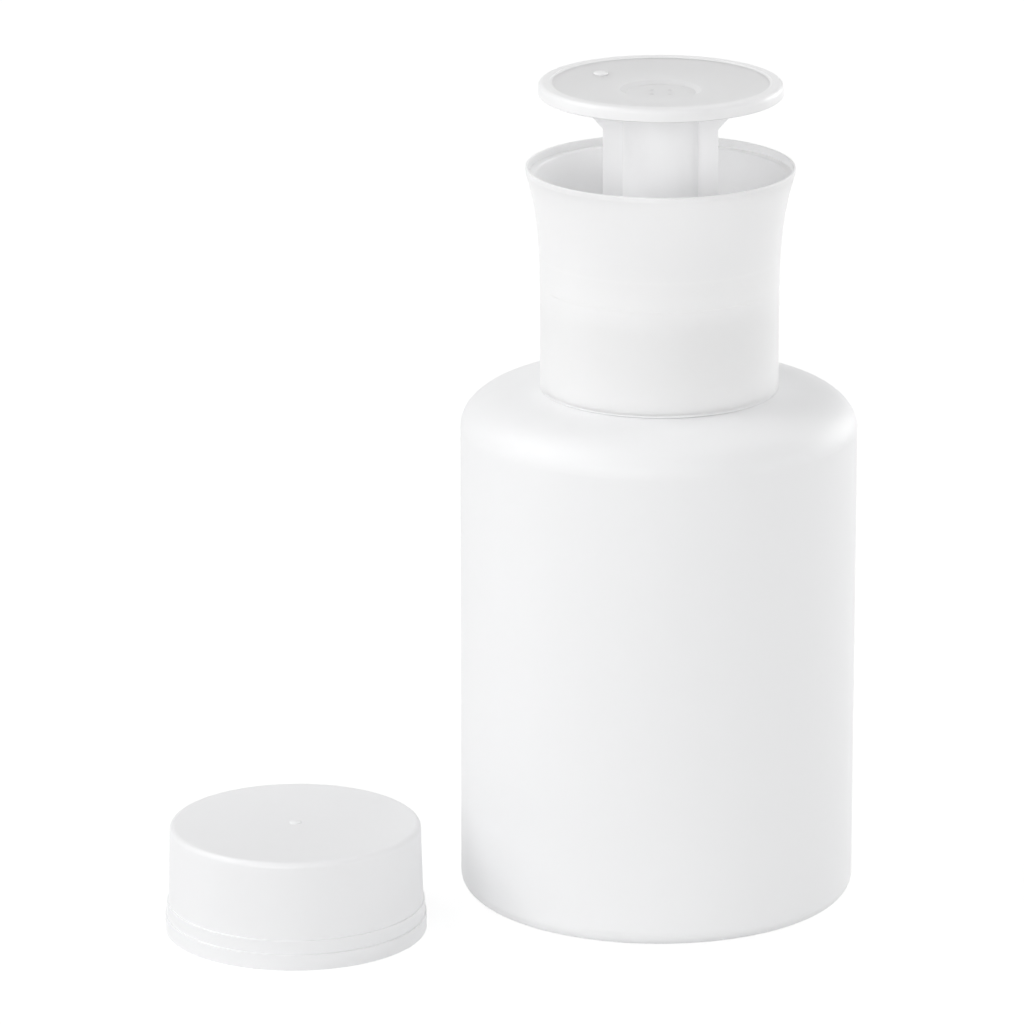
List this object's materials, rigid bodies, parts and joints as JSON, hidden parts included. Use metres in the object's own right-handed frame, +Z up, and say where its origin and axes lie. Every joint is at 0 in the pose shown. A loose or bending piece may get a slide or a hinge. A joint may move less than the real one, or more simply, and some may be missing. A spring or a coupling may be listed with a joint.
{
  "type": "nail polish remover pump",
  "caption": "Round milky plastic dispenser bottle with a flared screw collar, a push-down dish plate on a keyed pump stem, and a low stepped overcap standing beside it.",
  "frame": {"origin": "centre of the bottle's standing ring, on the table", "axes": "+Z up along the bottle's axis; -Y faces the pictured front, and the overcap stands towards -X and -Y"},
  "size_m": [0.1042, 0.0709, 0.1263],
  "materials": {
    "bottle_pe": "milky translucent, fine matte moulding texture",
    "collar_pp": "semi-gloss natural white",
    "plate_pp": "semi-gloss natural white",
    "overcap_pp": "semi-gloss natural white, thin wall",
    "gasket_foam": "soft closed-cell foam",
    "pump_pp": "natural, slightly translucent",
    "piston_pe": "soft, smooth",
    "spring_steel": "drawn stainless wire",
    "ball_steel": "polished stainless ball",
    "dip_tube_pe": "extruded, translucent"
  },
  "bodies": {
    "bottle": {"bottle": "bottle_pe"},
    "pump_unit": {"pump_barrel": "pump_pp", "neck_gasket": "gasket_foam", "stop_ring": "pump_pp", "ball_cage": "pump_pp", "return_spring": "spring_steel", "dip_tube": "dip_tube_pe"},
    "collar": {"collar_cup": "collar_pp"},
    "plunger": {"push_plate": "plate_pp", "dish_insert": "plate_pp", "stem": "pump_pp", "piston": "piston_pe"},
    "outlet_valve": {"outlet_ball": "ball_steel"},
    "inlet_valve": {"inlet_ball": "ball_steel"},
    "overcap": {"overcap": "overcap_pp"}
  },
  "joints": [
    {"name": "pump_rise", "type": "slide", "parent": "bottle", "child": "pump_unit", "axis": [0, 0, 1], "range_m": [0, 0.0045]},
    {"name": "collar_turn", "type": "hinge", "parent": "pump_unit", "child": "collar", "pos_m": [0, 0, 0.0942], "axis": [0, 0, 1], "range_deg": [0, 540]},
    {"name": "plate_press", "type": "slide", "parent": "collar", "child": "plunger", "axis": [0, 0, -1], "range_m": [0, 0.011], "stiffness_N_per_m": 150, "springref_m": -0.01, "deforming": ["return_spring"]},
    {"name": "outlet_ball_lift", "type": "slide", "parent": "plunger", "child": "outlet_valve", "axis": [0, 0, 1], "range_m": [0, 0.001]},
    {"name": "inlet_ball_lift", "type": "slide", "parent": "pump_unit", "child": "inlet_valve", "axis": [0, 0, 1], "range_m": [0, 0.001]},
    {"name": "cap_lift", "type": "slide", "parent": "bottle", "child": "overcap", "axis": [0, 0, 1], "range_m": [0, 0.13]}
  ],
  "couplings": [
    {"joint": "collar_turn", "follows": "pump_rise", "rad_per_m": 2094.4}
  ]
}
